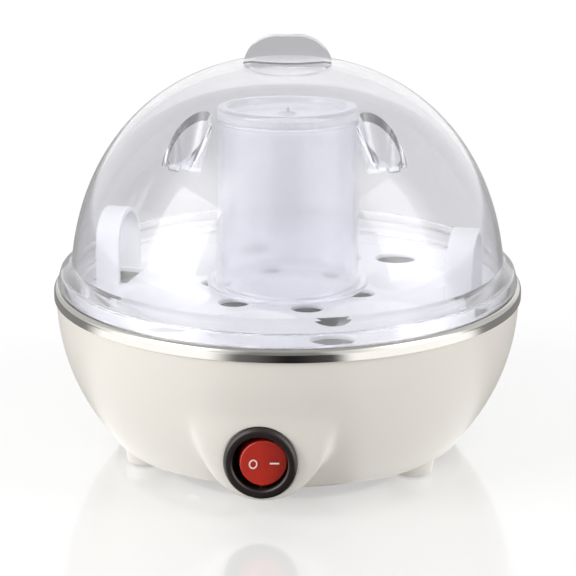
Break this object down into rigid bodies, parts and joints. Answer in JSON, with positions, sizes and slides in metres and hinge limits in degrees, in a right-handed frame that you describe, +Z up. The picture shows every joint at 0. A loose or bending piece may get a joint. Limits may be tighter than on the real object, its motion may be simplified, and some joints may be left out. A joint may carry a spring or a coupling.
{
  "type": "electric egg cooker",
  "caption": "Round countertop egg steamer with a lift-off clear lid, a lift-out egg tray, a measuring cup and a rocker switch.",
  "frame": {"origin": "middle of the cooker at table level, on its upright axis", "axes": "+Z up, -Y to the front where the switch is, +X to the user's right"},
  "size_m": [0.16, 0.16, 0.1435],
  "materials": {
    "housing_plastic": "cream moulded plastic with a soft sheen",
    "dark_plastic": "matt moulded plastic",
    "steel": "zinc-plated steel",
    "rubber": "matt soft rubber",
    "polished_steel": "polished stainless steel",
    "aluminium": "bare cast aluminium",
    "element_sheath": "drawn aluminium sheath, slightly dulled by heat",
    "thermostat_case": "brown heat-proof resin",
    "black_plastic": "black moulded plastic with a soft sheen",
    "terminal_brass": "bare brass",
    "rocker_plastic": "translucent red moulded plastic",
    "tray_plastic": "white food-safe plastic, satin",
    "clear_plastic": "clear moulded plastic with a faint haze"
  },
  "bodies": {
    "base": {"housing": "housing_plastic", "housing_collar": "housing_plastic", "bottom_cover": "dark_plastic", "cover_screws": "steel", "foot_pads": "rubber", "heating_pan": "polished_steel", "pan_rim": "polished_steel", "pan_seal": "rubber", "pan_brackets": "steel", "bracket_screws": "steel", "pan_studs": "steel", "heat_plate": "aluminium", "heating_element": "element_sheath", "clamp_plate": "steel", "stud_nuts": "steel", "thermostat": "thermostat_case", "thermostat_screws": "steel", "thermal_fuse": "steel", "fuse_clip": "steel", "switch_body": "black_plastic", "switch_terminals": "terminal_brass", "cord_gland": "black_plastic", "gland_nut": "black_plastic"},
    "rocker": {"rocker": "rocker_plastic"},
    "tray": {"egg_tray": "tray_plastic", "egg_seats": "tray_plastic", "lifting_loops": "tray_plastic"},
    "cup": {"measuring_cup": "clear_plastic", "cup_wall": "clear_plastic", "cup_brim": "clear_plastic", "piercing_pin": "steel"},
    "lid": {"lid": "clear_plastic", "lid_wall": "clear_plastic", "lid_rim": "clear_plastic", "lid_fin": "clear_plastic"}
  },
  "joints": [
    {"name": "rocker_tilt", "type": "hinge", "parent": "base", "child": "rocker", "pos_m": [0, -0.0715, 0.02], "axis": [0, 0, -1], "range_deg": [0, 24]},
    {"name": "tray_lift", "type": "slide", "parent": "base", "child": "tray", "axis": [0, 0, 1], "range_m": [0, 0.06]},
    {"name": "cup_lift", "type": "slide", "parent": "tray", "child": "cup", "axis": [0, 0, 1], "range_m": [0, 0.08]},
    {"name": "lid_lift", "type": "slide", "parent": "cup", "child": "lid", "axis": [0, 0, 1], "range_m": [0, 0.09]}
  ]
}
